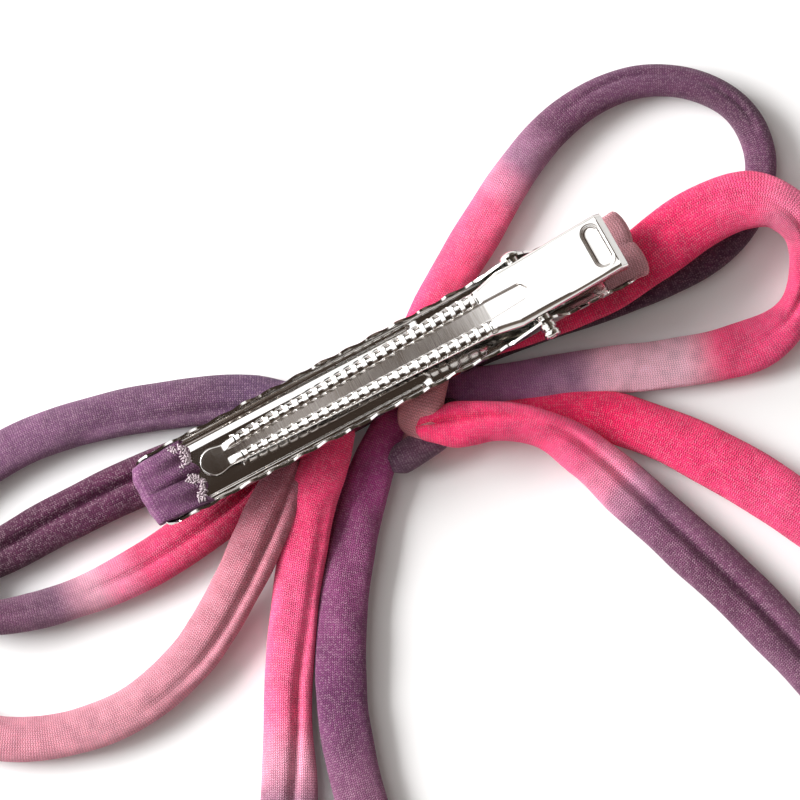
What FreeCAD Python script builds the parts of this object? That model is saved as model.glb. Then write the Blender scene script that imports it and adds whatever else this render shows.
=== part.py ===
import FreeCAD, Part
import os
from math import acos, cos, pi, radians, sin, sqrt, tan

os.makedirs("parts", exist_ok=True)

V = FreeCAD.Vector

# An alligator hair clip tied to a knit-tube bow, lying with the bow face down.
# Units are millimetres.  X runs along the clip from its tip to its handle, Y across it,
# Z up.  The origin is on the surface the bow lies on, under the middle of the clip.

# ---- pressed sheet parts of the clip ----
BASE_LENGTH = 75.0          # base plate, tip to tail
BASE_WIDTH = 11.0           # over its two walls
SHEET = 0.5                 # thickness of every pressed sheet part
WALL_RISE = 1.3             # wall above the floor's upper face, at a scallop's crest
SCALLOP_PITCH = 4.1         # one wave of the wall's top edge
SCALLOP_DEPTH = 0.35
SCALLOP_FIRST = -33.0       # the waves run from here to the ears
BASE_CORNER = 1.6           # corner radius of the floor, seen from above
BEAD_HEIGHT = 0.25          # stiffening beads beside the walls
BEAD_WIDTH = 0.9
BEAD_END_UPPER = 5.0        # where the bead beside the +Y wall stops
BEAD_END_LOWER = 3.0

# ---- pivot ----
PIN_X = 22.4
PIN_RADIUS = 1.0
PIN_RISE = 3.0              # pin axis above the floor's upper face
PIN_RUNNING_FIT = 0.05      # radial clearance of the lever's holes
PIN_HEAD_RADIUS = 1.5
PIN_HEAD_HEIGHT = 0.9
PIN_TAIL_LENGTH = 1.9       # riveted end, past the base's wall
PIN_TAIL_RADIUS = 1.15
PIN_BORE_RADIUS = 0.5
EAR_RADIUS = 1.9            # metal round the pin, base and lever alike

# ---- lever ----
LEVER_TIP_X = -29.8
LEVER_END_X = 35.8
LEVER_SIDE_PLAY = 0.65      # handle's folded sides to the base's walls
TIP_GAP = 0.05              # closed lever over the floor
PRONG_RISE = 3.6            # underside at the root of the prong, above the floor
HANDLE_SLOPE = 13.5         # degrees
SPOON_RADIUS = 2.05
NECK_HALF = 1.7
PRONG_HALF_TIP = 1.95
PRONG_HALF_ROOT = 3.4
PRONG_ROOT_X = 14.8
GROOVE_HALF_TIP = 0.55
GROOVE_HALF_ROOT = 1.3
TEETH = 25
TOOTH_PITCH = 1.58
TOOTH_LENGTH = 0.95
TOOTH_FIRST_X = -23.9
TOOTH_HEIGHT = 0.6
FLANGE_DROP = 1.2           # folded side below the handle's sheet
LIP_DROP = 1.0              # folded end

# ---- spring strip ----
SPRING_SHEET = 0.4
SPRING_WIDTH = 5.0
SPRING_PLAY = 0.15          # bend to pin, and legs to what they press on
SPRING_UPPER_REACH = 10.3   # legs, from the pin towards the tail
SPRING_LOWER_REACH = 9.0

# ---- fabric lining glued round the base ----
LINING = 0.8
LINING_SIDE_PLAY = 0.2      # folded ends to the base's walls
TIP_FOLD = 7.0              # lining folded over the floor at the tip
TIP_FOLD_RISE = 1.0
TAIL_FOLD = 4.5
TAIL_FOLD_RISE = 1.2
TIP_BULGE = 0.9
TAIL_BULGE = 1.5

# ---- bow ----
STRAND_RADIUS = 2.0         # a limp tube with the section of the flattened one
STRAND_LIFT = 0.1           # lowest strands over the surface
CROSSING_GAP = 0.1
CORE_MIN_X = -20.0          # strands gathered under the clip
CORE_MAX_X = 13.0
CORE_WIDTH = 9.0
CORE_HEIGHT = 8.4
CORE_FILLET = 1.2
KNOT_RADIUS = 3.7           # the turn of strand round the middle, beside the clip
KNOT_X = -0.4
KNOT_Y = -9.0
KNOT_FILLET = 1.5
GLUE = 0.6
BOW_TURN = -28.4            # degrees from the bow's own frame to the clip's

# ---- heights that follow ----
LINING_Z = CORE_HEIGHT + GLUE
FLOOR_Z = LINING_Z + LINING + SHEET       # upper face of the base's floor
PIN_Z = FLOOR_Z + PIN_RISE
LOW = STRAND_RADIUS + STRAND_LIFT
HIGH = LOW + 2 * STRAND_RADIUS + CROSSING_GAP
HALF = BASE_WIDTH / 2
LEVER_HALF = HALF - SHEET - LEVER_SIDE_PLAY
LINING_HALF = HALF - SHEET - LINING_SIDE_PLAY

# Routes of the strands in the bow's frame: x, y in mm and the height of the middle.
# A loop starts and ends among the gathered strands.  A tail ends free.
ROUTES = {
    "loop_upper_right": [
        (2.8, 4.6, LOW), (6, 10.8, LOW), (12.5, 21.3, LOW), (18.3, 31.5, LOW), (25.3, 40, LOW),
        (35, 45.2, LOW), (44.5, 44.7, LOW), (51.5, 40.5, LOW), (54.3, 33.5, LOW),
        (53, 26.5, LOW), (49, 20.6, LOW), (42.8, 16.2, LOW), (34, 12.5, LOW),
        (22.8, 8.8, LOW), (14.5, 5.8, LOW), (8.8, 3, LOW)],
    "loop_lower_right": [
        (8.4, 4.3, HIGH), (14, 6, HIGH), (23.2, 9.7, HIGH), (31.3, 13.6, HIGH),
        (37.8, 18.3, HIGH), (43.8, 23.2, HIGH), (50.8, 26.3, HIGH), (57, 25.2, 6),
        (60.2, 20.8, 4.5), (60.2, 15, 2.8), (58.3, 9.8, LOW), (54.2, 6.1, LOW),
        (48.3, 4.2, LOW), (41.2, 2.8, LOW), (32.6, 1.9, LOW), (22.8, 0.7, LOW),
        (13, -0.7, LOW), (5.4, -0.6, LOW)],
    "loop_upper_left": [
        (-12.4, -3.1, LOW), (-18.5, -2.1, LOW), (-29.2, -2.9, LOW), (-40.5, -4.8, LOW),
        (-50.5, -7.8, LOW), (-58.8, -12.5, LOW), (-65.3, -19, LOW), (-69.5, -27.5, LOW),
        (-70.5, -37.5, LOW), (-66.5, -45.8, LOW), (-58.8, -50.7, LOW), (-49, -51.6, LOW),
        (-37.8, -48.6, LOW), (-29, -41.8, LOW), (-23.6, -33.8, 2.8), (-19.3, -25.6, 4.6),
        (-16, -18, HIGH), (-13.1, -11.7, HIGH)],
    "loop_lower_left": [
        (-14.9, -5.6, LOW), (-20, -7.8, LOW), (-28.1, -11.1, LOW), (-37.8, -15.4, LOW),
        (-47, -20, LOW), (-53.6, -24, LOW), (-58.4, -26.1, 2.4), (-61.4, -29.3, 2.9),
        (-60.8, -33.2, 3.3), (-56.6, -34.4, 3.3), (-51.6, -33.6, 2.8), (-46, -32, LOW),
        (-39.8, -29.5, LOW), (-33.7, -26.2, LOW),
        (-27.1, -21.8, LOW), (-21, -16.8, LOW), (-16.7, -12.2, LOW), (-13.1, -9.2, LOW)],
    "tail_lower_left": [
        (-6.6, -6.4, HIGH), (-8.5, -11, HIGH), (-11.2, -18.7, 5), (-13.3, -32, LOW),
        (-14.4, -46.5, LOW), (-13.6, -60, LOW), (-15.2, -70, LOW), (-19, -80, LOW),
        (-22.4, -90, LOW), (-23.4, -101, LOW)],
    "tail_lower_middle": [
        (1.3, -3.5, LOW), (-1.6, -10.5, LOW), (-4.7, -19.2, LOW), (-6.6, -32, LOW),
        (-6.9, -45.5, LOW), (-4.5, -58, LOW), (-1.2, -68, LOW), (-0.9, -79, LOW),
        (-4.3, -90, LOW), (-8, -101, LOW)],
    "tail_right": [
        (3.8, -7.5, HIGH), (9.4, -7.1, HIGH), (16, -6.2, HIGH), (22.7, -7.5, 5.6),
        (28.3, -11, 3.8), (34, -15.9, 2.5), (40.7, -21.9, LOW), (49.4, -30, LOW),
        (59, -40.3, LOW), (66.7, -49.8, LOW), (72.8, -59.8, LOW), (77.4, -70.6, LOW)],
    "tail_upper_right": [
        (4.4, -8.3, LOW), (10.5, -6.7, LOW), (17.7, -4.6, LOW), (25.4, -3.9, LOW),
        (33, -5.2, LOW), (41.2, -8.3, LOW), (49.9, -13, LOW), (58.6, -18.7, LOW),
        (66.8, -25.5, LOW), (76, -30.8, LOW), (86, -32.8, LOW), (95, -32.3, LOW)],
}


def box(x0, x1, y0, y1, z0, z1):
    return Part.makeBox(x1 - x0, y1 - y0, z1 - z0, V(x0, y0, z0))


def rod(radius, y0, y1, x=PIN_X, z=None):
    """A cylinder along Y, on the pin's axis unless told otherwise."""
    height = PIN_Z if z is None else z
    return Part.makeCylinder(radius, y1 - y0, V(x, y0, height), V(0, 1, 0))


def plate(outline, y0, y1):
    """A closed outline of (x, z) corners, as a plate from y0 to y1."""
    corners = [V(x, y0, z) for x, z in outline]
    wire = Part.makePolygon(corners + corners[:1])
    return Part.Face(wire).extrude(V(0, y1 - y0, 0))


def mirrored(shape):
    return shape.mirror(V(0, 0, 0), V(0, 1, 0))


# ---- base plate ----
def base_wall():
    """The +Y wall: low along the prong, an ear at the pin, low again to the tail."""
    low = FLOOR_Z + WALL_RISE
    ear_top = PIN_Z + EAR_RADIUS
    outline = [(-BASE_LENGTH / 2 + BASE_CORNER, FLOOR_Z - SHEET),
               (BASE_LENGTH / 2 - BASE_CORNER, FLOOR_Z - SHEET),
               (BASE_LENGTH / 2 - BASE_CORNER, FLOOR_Z + 0.6 * WALL_RISE),
               (PIN_X + 2 * EAR_RADIUS, low),
               (PIN_X + EAR_RADIUS, ear_top - 0.5 * EAR_RADIUS),
               (PIN_X + 0.5 * EAR_RADIUS, ear_top),
               (PIN_X - 0.5 * EAR_RADIUS, ear_top),
               (PIN_X - EAR_RADIUS, ear_top - 0.5 * EAR_RADIUS),
               (PIN_X - 3 * EAR_RADIUS, low),
               (-BASE_LENGTH / 2 + BASE_CORNER, low - SCALLOP_DEPTH)]
    return plate(outline, HALF - SHEET, HALF)


def scallop_cutters():
    """Rods across both walls, whose undersides leave the waved edge."""
    radius = SCALLOP_PITCH ** 2 / (8 * SCALLOP_DEPTH) + SCALLOP_DEPTH / 2
    count = int((PIN_X - 3 * EAR_RADIUS - SCALLOP_FIRST) / SCALLOP_PITCH)
    z = FLOOR_Z + WALL_RISE - SCALLOP_DEPTH + radius
    return [rod(radius, -HALF - 1, HALF + 1, SCALLOP_FIRST + (i + 0.5) * SCALLOP_PITCH, z)
            for i in range(count)]


def bead(y, x0, x1):
    """A low stiffening rib on the floor, with round ends."""
    radius = BEAD_WIDTH / 2
    rib = box(x0, x1, y - radius, y + radius, FLOOR_Z - SHEET / 2, FLOOR_Z + BEAD_HEIGHT)
    for x in (x0, x1):
        end = Part.makeCylinder(radius, SHEET / 2 + BEAD_HEIGHT, V(x, y, FLOOR_Z - SHEET / 2))
        rib = rib.fuse(end)
    return rib


def base_plate():
    floor = box(-BASE_LENGTH / 2, BASE_LENGTH / 2, -HALF, HALF, FLOOR_Z - SHEET, FLOOR_Z)
    upright = [e for e in floor.Edges if abs(e.tangentAt(0).z) > 0.9]
    floor = floor.makeFillet(BASE_CORNER, upright)
    wall = base_wall()
    bead_y = HALF - SHEET - BEAD_WIDTH
    bead_start = TIP_FOLD - BASE_LENGTH / 2 + BEAD_WIDTH
    ribs = [bead(bead_y, bead_start, BEAD_END_UPPER), bead(-bead_y, bead_start, BEAD_END_LOWER)]
    body = floor.multiFuse([wall, mirrored(wall)] + ribs)
    body = body.cut(rod(PIN_RADIUS, -HALF - 1, HALF + 1))
    return body.cut(scallop_cutters()).removeSplitter()


# ---- pin ----
def pivot_pin():
    """Domed head on the +Y side, a stepped hollow riveted end on the other."""
    tail = HALF + PIN_TAIL_LENGTH
    pin = rod(PIN_RADIUS, -tail + 0.2, HALF)
    head = rod(PIN_HEAD_RADIUS, HALF, HALF + PIN_HEAD_HEIGHT)
    rim = [e for e in head.Edges if e.BoundBox.YMin > HALF + PIN_HEAD_HEIGHT - 0.01]
    head = head.makeFillet(0.8 * PIN_HEAD_HEIGHT, rim[:1])
    collar = rod(PIN_TAIL_RADIUS, -HALF - 0.6, -HALF)
    end = rod(PIN_TAIL_RADIUS, -tail, -tail + 1.0)
    pin = pin.multiFuse([head, collar, end])
    return pin.cut(rod(PIN_BORE_RADIUS, -tail - 0.1, -tail + 0.7)).removeSplitter()


# ---- lever ----
def handle_z(x):
    """Underside of the handle's sheet."""
    return FLOOR_Z + PRONG_RISE + 1.2 + (x - PIN_X) * tan(radians(HANDLE_SLOPE))


def lever_line(lift):
    """The sheet's side view, from tip to end, as one smooth curve raised by lift."""
    stations = [(LEVER_TIP_X, FLOOR_Z + TIP_GAP), (LEVER_TIP_X + 5, FLOOR_Z + TIP_GAP + 0.2),
                (-8.0, FLOOR_Z + 0.42 * PRONG_RISE), (6.0, FLOOR_Z + 0.75 * PRONG_RISE),
                (PRONG_ROOT_X, FLOOR_Z + PRONG_RISE), (PIN_X, handle_z(PIN_X)),
                (0.5 * (PIN_X + LEVER_END_X), handle_z(0.5 * (PIN_X + LEVER_END_X))),
                (LEVER_END_X, handle_z(LEVER_END_X))]
    curve = Part.BSplineCurve()
    curve.interpolate([V(x, -HALF, z + lift) for x, z in stations])
    return curve.toShape()


def lever_slab(low, high):
    """Everything between two lifts of the side view, as wide as the base."""
    lower, upper = lever_line(low), lever_line(high)
    ends = [Part.makeLine(lower.valueAt(lower.FirstParameter), upper.valueAt(upper.FirstParameter)),
            Part.makeLine(lower.valueAt(lower.LastParameter), upper.valueAt(upper.LastParameter))]
    return Part.Face(Part.Wire([lower, ends[1], upper, ends[0]])).extrude(V(0, 2 * HALF, 0))


def prism(corners):
    """An outline of (x, y) corners, tall enough to trim the lever's slab."""
    wire = Part.makePolygon([V(x, y, FLOOR_Z - 1) for x, y in corners + corners[:1]])
    return Part.Face(wire).extrude(V(0, 0, 20))


def lever_outline():
    neck_x = LEVER_TIP_X + 2 * SPOON_RADIUS
    side = [(LEVER_TIP_X + SPOON_RADIUS, NECK_HALF), (neck_x, NECK_HALF),
            (TOOTH_FIRST_X, PRONG_HALF_TIP), (PRONG_ROOT_X, PRONG_HALF_ROOT),
            (PRONG_ROOT_X + 4.5, LEVER_HALF), (LEVER_END_X, LEVER_HALF)]
    blade = prism(side + [(x, -y) for x, y in reversed(side)])
    spoon = Part.makeCylinder(SPOON_RADIUS, 20,
                              V(LEVER_TIP_X + SPOON_RADIUS, 0, FLOOR_Z - 1))
    return blade.fuse(spoon)


def tooth_boxes():
    """Bars across each rail of the prong, beside its central groove."""
    bars = []
    for i in range(TEETH):
        x = TOOTH_FIRST_X + i * TOOTH_PITCH
        share = (x - TOOTH_FIRST_X) / (PRONG_ROOT_X - TOOTH_FIRST_X)
        inner = GROOVE_HALF_TIP + share * (GROOVE_HALF_ROOT - GROOVE_HALF_TIP)
        outer = PRONG_HALF_TIP + share * (PRONG_HALF_ROOT - PRONG_HALF_TIP) - 0.1
        bar = box(x, x + TOOTH_LENGTH, inner, outer, FLOOR_Z, FLOOR_Z + 12)
        bars += [bar, mirrored(bar)]
    return bars


def lever_flange():
    """The handle's +Y folded side, with the ear that holds the pin."""
    y0 = LEVER_HALF - SHEET
    start = PRONG_ROOT_X + 4.5
    top = [(x, handle_z(x) + SHEET / 2) for x in (LEVER_END_X, PIN_X, start)]
    top[-1] = (start, FLOOR_Z + PRONG_RISE + 0.7)
    bottom = [(start, top[-1][1] - FLANGE_DROP), (PIN_X - EAR_RADIUS, PIN_Z),
              (PIN_X, PIN_Z), (PIN_X + EAR_RADIUS, PIN_Z),
              (PIN_X + 2 * EAR_RADIUS, handle_z(PIN_X + 2 * EAR_RADIUS) - FLANGE_DROP),
              (LEVER_END_X, handle_z(LEVER_END_X) - FLANGE_DROP)]
    return plate(top + bottom, y0, LEVER_HALF).fuse(rod(EAR_RADIUS, y0, LEVER_HALF))


def lever():
    web = lever_slab(0, SHEET).common(lever_outline())
    teeth = Part.makeCompound(tooth_boxes()).common(lever_slab(SHEET / 2, SHEET + TOOTH_HEIGHT))
    flange = lever_flange()
    lip = plate([(LEVER_END_X - SHEET, handle_z(LEVER_END_X) + SHEET / 2),
                 (LEVER_END_X, handle_z(LEVER_END_X) + SHEET / 2),
                 (LEVER_END_X, handle_z(LEVER_END_X) - LIP_DROP),
                 (LEVER_END_X - SHEET, handle_z(LEVER_END_X) - LIP_DROP)],
                -LEVER_HALF, LEVER_HALF)
    body = web.multiFuse([flange, mirrored(flange), lip] + teeth.Solids)
    return body.cut(rod(PIN_RADIUS + PIN_RUNNING_FIT, -HALF, HALF))


# ---- spring ----
def spring():
    """A strip bent round the pin, one leg under the handle and one on the floor."""
    inner = PIN_RADIUS + SPRING_PLAY
    outer = inner + SPRING_SHEET
    half = SPRING_WIDTH / 2
    bend = rod(outer, -half, half).cut(rod(inner, -half, half))
    bend = bend.cut(box(PIN_X, PIN_X + 5, -half, half, PIN_Z - 5, PIN_Z + 5))
    up_x, up_z = PIN_X + SPRING_UPPER_REACH, handle_z(PIN_X + SPRING_UPPER_REACH) - SPRING_PLAY
    upper = plate([(PIN_X, PIN_Z + inner), (PIN_X, PIN_Z + outer), (up_x, up_z),
                   (up_x, up_z - SPRING_SHEET)], -half, half)
    low_x, low_z = PIN_X + SPRING_LOWER_REACH, FLOOR_Z + SPRING_PLAY
    lower = plate([(PIN_X, PIN_Z - inner), (PIN_X, PIN_Z - outer), (low_x, low_z),
                   (low_x, low_z + SPRING_SHEET)], -half, half)
    return bend.multiFuse([upper, lower]).removeSplitter()


# ---- lining and glue ----
def lining_strip():
    """One strip under the base, folded up and back over the floor at both ends."""
    tip, tail = -BASE_LENGTH / 2, BASE_LENGTH / 2
    under = FLOOR_Z - SHEET
    outline = [(tip - TIP_BULGE, LINING_Z), (tail + TAIL_BULGE, LINING_Z),
               (tail + TAIL_BULGE, FLOOR_Z + TAIL_FOLD_RISE),
               (tail - TAIL_FOLD, FLOOR_Z + TAIL_FOLD_RISE), (tail - TAIL_FOLD, FLOOR_Z),
               (tail, FLOOR_Z), (tail, under), (tip, under), (tip, FLOOR_Z),
               (tip + TIP_FOLD, FLOOR_Z), (tip + TIP_FOLD, FLOOR_Z + TIP_FOLD_RISE),
               (tip - TIP_BULGE, FLOOR_Z + TIP_FOLD_RISE)]
    return plate(outline, -LINING_HALF, LINING_HALF)


def glue_pad():
    margin = 3.0
    return box(CORE_MIN_X + margin, CORE_MAX_X - margin, 1 - CORE_WIDTH / 2,
               CORE_WIDTH / 2 - 1, CORE_HEIGHT, LINING_Z)


# ---- bow ----
def bow_core():
    """The strands gathered under the clip."""
    core = box(CORE_MIN_X, CORE_MAX_X, -CORE_WIDTH / 2, CORE_WIDTH / 2, 0, CORE_HEIGHT)
    upright = [e for e in core.Edges if abs(e.tangentAt(0).z) > 0.9]
    return core.makeFillet(CORE_FILLET, upright)


def bow_knot(core):
    """The turn of strand that ties them, bulging out beside the clip."""
    knot = Part.makeCylinder(KNOT_RADIUS, CORE_HEIGHT, V(KNOT_X, KNOT_Y, 0))
    neck = box(KNOT_X - KNOT_RADIUS, KNOT_X + KNOT_RADIUS, KNOT_Y, 0, 0, CORE_HEIGHT)
    return knot.fuse(neck).cut(core).removeSplitter()


def to_clip_frame(point):
    x, y, z = point
    c, s = cos(radians(BOW_TURN)), sin(radians(BOW_TURN))
    return V(c * x - s * y, s * x + c * y, z)


def rounded_path(points):
    """Straight runs joined by arcs tangent to both, as large as the runs allow."""
    edges, radii = [], []
    start = points[0]
    for before, corner, after in zip(points, points[1:], points[2:]):
        back = (before - corner).normalize()
        ahead = (after - corner).normalize()
        turn = pi - acos(max(-1.0, min(1.0, back.dot(ahead))))
        reach = 0.45 * min(before.distanceToPoint(corner), corner.distanceToPoint(after))
        radius = reach / tan(turn / 2)
        first, last = corner + back * reach, corner + ahead * reach
        bisector = (back + ahead).normalize()
        middle = corner + bisector * (sqrt(reach ** 2 + radius ** 2) - radius)
        edges += [Part.LineSegment(start, first).toShape(), Part.Arc(first, middle, last).toShape()]
        radii.append(radius)
        start = last
    edges.append(Part.LineSegment(start, points[-1]).toShape())
    return Part.Wire(edges), radii


def strand(name, core, knot):
    """A round tube along its route, ending where it meets the gathered strands."""
    path, radii = rounded_path([to_clip_frame(p) for p in ROUTES[name]])
    first = path.Edges[0]
    heading = first.tangentAt(first.FirstParameter)
    section = Part.Wire(Part.makeCircle(STRAND_RADIUS, first.valueAt(first.FirstParameter), heading))
    tube = path.makePipeShell([section], True, False)
    ideal = pi * STRAND_RADIUS ** 2 * path.Length
    print(f"{name}: length {path.Length:.1f}, tightest radius {min(radii):.1f}, "
          f"volume {tube.Volume / ideal:.4f} of section by length")
    pieces = tube.cut([core, knot]).Solids
    return max(pieces, key=lambda piece: piece.Volume)


def main():
    core = bow_core()
    knot = bow_knot(core)
    parts = {"base_plate": base_plate(), "pivot_pin": pivot_pin(), "lever": lever(),
             "spring": spring(), "lining_strip": lining_strip(), "glue_pad": glue_pad(),
             "bow_core": core, "bow_knot": knot}
    for name in ROUTES:
        parts[name] = strand(name, core, knot)
    for name, shape in parts.items():
        shape.exportStep(f"parts/{name}.step")
        print(name, len(shape.Solids), "solid", round(shape.Volume, 2), "mm3", shape.isValid())


main()
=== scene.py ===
# %% [markdown]
# A hair clip on a bow of knit tubes.  The imported construction gives every size and place, so the
# lesson starts by loading it, with a helper that reads a part's box.
# Everything is in metres, in the construction's own frame: X along the clip, Z up.

# %% Frame
from math import atan2, cos, exp, hypot, pi, radians, sin, sqrt

import bmesh
import bpy
from mathutils import Matrix, Vector, noise
from mathutils.bvhtree import BVHTree


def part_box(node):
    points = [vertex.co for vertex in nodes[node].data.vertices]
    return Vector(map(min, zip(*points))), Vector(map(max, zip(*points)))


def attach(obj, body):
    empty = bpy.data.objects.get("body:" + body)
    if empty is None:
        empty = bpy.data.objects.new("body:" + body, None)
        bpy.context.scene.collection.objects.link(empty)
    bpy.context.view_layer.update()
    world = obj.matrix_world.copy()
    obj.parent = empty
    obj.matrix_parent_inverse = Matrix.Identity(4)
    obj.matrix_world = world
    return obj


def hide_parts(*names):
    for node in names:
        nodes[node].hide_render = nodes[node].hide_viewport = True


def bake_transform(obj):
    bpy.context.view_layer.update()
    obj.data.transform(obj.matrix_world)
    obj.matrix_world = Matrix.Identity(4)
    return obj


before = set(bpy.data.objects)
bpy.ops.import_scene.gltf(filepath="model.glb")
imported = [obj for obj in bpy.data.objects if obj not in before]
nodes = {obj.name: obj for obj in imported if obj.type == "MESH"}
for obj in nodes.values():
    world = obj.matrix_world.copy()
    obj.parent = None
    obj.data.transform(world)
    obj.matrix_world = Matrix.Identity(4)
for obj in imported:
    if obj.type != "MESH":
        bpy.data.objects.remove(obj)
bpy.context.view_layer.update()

MM = 0.001
scene = bpy.context.scene

# %% [markdown]
# The clip sits at a slant across the bow.  The bow's loops and tails are written in the bow's own
# frame, where the loops lie left and right, and one turn brings them into the clip's frame.
# The camera looks down along the bow's frame too, tilted a little towards its tails.

# %% The bow's own frame, and the camera
BOW_TURN = radians(-28.4)
CAMERA_TILT = radians(12)
CAMERA_DISTANCE = 0.55
VIEW_WIDTH = 0.1135
VIEW_CENTRE = (0.0016, -0.0034, 0.006)


def from_bow(x, y, z):
    """A point of the bow's frame in mm, as a point of the clip's frame in metres."""
    return Matrix.Rotation(BOW_TURN, 3, "Z") @ Vector((x, y, z)) * MM


camera_data = bpy.data.cameras.new("camera")
camera_data.sensor_width = 36
camera_data.lens = 36 * CAMERA_DISTANCE / VIEW_WIDTH
camera = bpy.data.objects.new("camera", camera_data)
scene.collection.objects.link(camera)
turn = Matrix.Rotation(BOW_TURN, 4, "Z")
tilt = Matrix.Rotation(CAMERA_TILT, 4, "X")
aim = Matrix.Translation(turn @ Vector(VIEW_CENTRE))
camera.matrix_world = aim @ turn @ tilt @ Matrix.Translation((0, 0, CAMERA_DISTANCE))
scene.camera = camera
print("lens", round(camera_data.lens), "mm")

# %% [markdown]
# Each material is a small node tree.  Colours are written as sRGB hex, as a dyer or a plater would
# match them, and one function turns them to the linear values that the shader wants.  A few more
# add nodes, set them up and link them, so that a tree reads as a short list.

# %% Colours and nodes
def linear(code):
    """An sRGB hex colour as linear red, green, blue and alpha."""
    parts = [int(code[i:i + 2], 16) / 255 for i in (1, 3, 5)]
    return [c / 12.92 if c <= 0.04045 else ((c + 0.055) / 1.055) ** 2.4 for c in parts] + [1.0]


def feed(tree, node, inputs):
    """Sets a node's inputs.  Each is a value, or the output socket that feeds it."""
    for key, value in inputs.items():
        if isinstance(value, bpy.types.NodeSocket):
            tree.links.new(value, node.inputs[key])
        else:
            node.inputs[key].default_value = value


def add(tree, kind, inputs=None, **settings):
    """Adds a node, with its settings and its inputs."""
    node = tree.nodes.new("ShaderNode" + kind)
    for key, value in settings.items():
        setattr(node, key, value)
    feed(tree, node, inputs or {})
    return node


def remap(tree, value, low, high, to_low, to_high, kind="LINEAR"):
    """A Map Range node's result: low..high becomes to_low..to_high, clamped."""
    inputs = {0: value, 1: low, 2: high, 3: to_low, 4: to_high}
    return add(tree, "MapRange", inputs, interpolation_type=kind).outputs[0]


def math(tree, operation, a, b=None):
    """One step of arithmetic in a tree: a Math node's result."""
    inputs = {0: a} if b is None else {0: a, 1: b}
    return add(tree, "Math", inputs, operation=operation).outputs[0]


def dot(tree, heading, along):
    """How far a direction points along a fixed one."""
    node = add(tree, "VectorMath", {0: heading, 1: along}, operation="DOT_PRODUCT")
    return node.outputs["Value"]


def blend_colours(tree, share, first, second):
    """A colour between two, each a value or a socket."""
    return add(tree, "Mix", {0: share, 6: first, 7: second}, data_type="RGBA").outputs[2]


def new_material(name):
    """An empty material with its Principled shader already at the output."""
    material = bpy.data.materials.new(name)
    material.use_nodes = True
    tree = material.node_tree
    tree.nodes.clear()
    shader = add(tree, "BsdfPrincipled")
    add(tree, "OutputMaterial", {"Surface": shader.outputs[0]})
    return material, tree, shader


# %% [markdown]
# Cotton jersey, piece-dyed and then cut into tubes.  Its face is columns of small V stitches, the
# wales, 0.43 mm apart.  The stitch pattern is worked out from the UV map, which holds millimetres
# across and along the tube, so the wales follow every bend.  Half of each wale is one leg of the V.
# The dye is an attribute of the mesh, because it changes along each strand.  The colour also has
# painted shade in the hollows between stitches and painted light on their tops.  Single stitches
# show pale specks on their crowns, partly from taking less dye and partly a painted glint.  The
# sheen is the down of the cotton.

# %% Jersey
WALE = 0.43
COURSE = 0.35
LEG_SLANT = 1.2
PLAIN_SHARE = 0.30


def bulge(tree, off):
    """1 in the middle of a stitch, falling to 0 at off = 1."""
    return math(tree, "SUBTRACT", 1.0, math(tree, "MULTIPLY", off, off))


def jersey(name, speck=0.7, depth=0.12):
    """Knit: speck is how pale the palest speck may be, paler dye with a painted glint; depth is the
    stitches' relief in mm.
    """
    material, tree, shader = new_material(name)
    uv = add(tree, "UVMap", uv_map="knit").outputs[0]
    axes = add(tree, "SeparateXYZ", {0: uv})
    across = math(tree, "DIVIDE", axes.outputs[0], WALE)
    in_wale = math(tree, "SUBTRACT", math(tree, "FRACT", across), 0.5)
    side = math(tree, "ABSOLUTE", in_wale)
    along = math(tree, "ADD", math(tree, "DIVIDE", axes.outputs[1], COURSE),
                 math(tree, "MULTIPLY", side, LEG_SLANT))
    in_course = math(tree, "SUBTRACT", math(tree, "FRACT", along), 0.5)
    off_leg = math(tree, "MULTIPLY", math(tree, "SUBTRACT", side, 0.25), 4.0)
    leg = bulge(tree, off_leg)
    stitch = bulge(tree, math(tree, "MULTIPLY", in_course, 2.0))
    height = math(tree, "MULTIPLY", math(tree, "SQRT", math(tree, "MAXIMUM", leg, 0.0)), stitch)
    cell = add(tree, "CombineXYZ", {0: math(tree, "FLOOR", math(tree, "MULTIPLY", across, 2.0)),
                                    1: math(tree, "FLOOR", along)})
    chance = add(tree, "TexWhiteNoise", {0: cell.outputs[0]}, noise_dimensions="2D").outputs[0]
    pale = remap(tree, chance, PLAIN_SHARE, 1.0, 0.0, speck)
    place = add(tree, "TexCoord").outputs["Object"]
    mottle = add(tree, "TexNoise", {"Vector": place, "Scale": 420, "Detail": 3}).outputs[0]
    dye = add(tree, "Attribute", attribute_name="dye").outputs["Color"]
    shade = remap(tree, mottle, 0.3, 0.7, 0.82, 1.18)
    # Painted shade and light: the colour is darker in the hollows between stitches and lighter on their
    # tops.
    painted_stitch_shading = remap(tree, height, 0.0, 0.9, 0.58, 1.20)
    dark = add(tree, "VectorMath", {0: dye, "Scale": math(tree, "MULTIPLY", shade, painted_stitch_shading)},
               operation="SCALE").outputs[0]
    # Painted highlight: the pale specks sit on the crowns of random stitches, partly paler dye and partly
    # a painted glint.
    crown = math(tree, "POWER", math(tree, "MAXIMUM", height, 0.0), 1.6)
    speck_and_painted_glint = math(tree, "MULTIPLY", pale, crown)
    pale_dye_and_glint_tint = blend_colours(tree, 0.30, dye, linear("#FFDCE8"))
    colour = blend_colours(tree, speck_and_painted_glint, dark, pale_dye_and_glint_tint)
    bump = add(tree, "Bump", {"Strength": 0.8, "Distance": depth * MM, "Height": height})
    feed(tree, shader, {"Base Color": colour, "Normal": bump.outputs[0], "Roughness": 0.78,
                        "Sheen Weight": 0.08, "Sheen Roughness": 0.45, "Specular IOR Level": 0.3})
    return material


bow_jersey = jersey("tie_dyed_cotton_jersey")
lining_jersey = jersey("lining_cotton_jersey", speck=0.65, depth=0.10)

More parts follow.
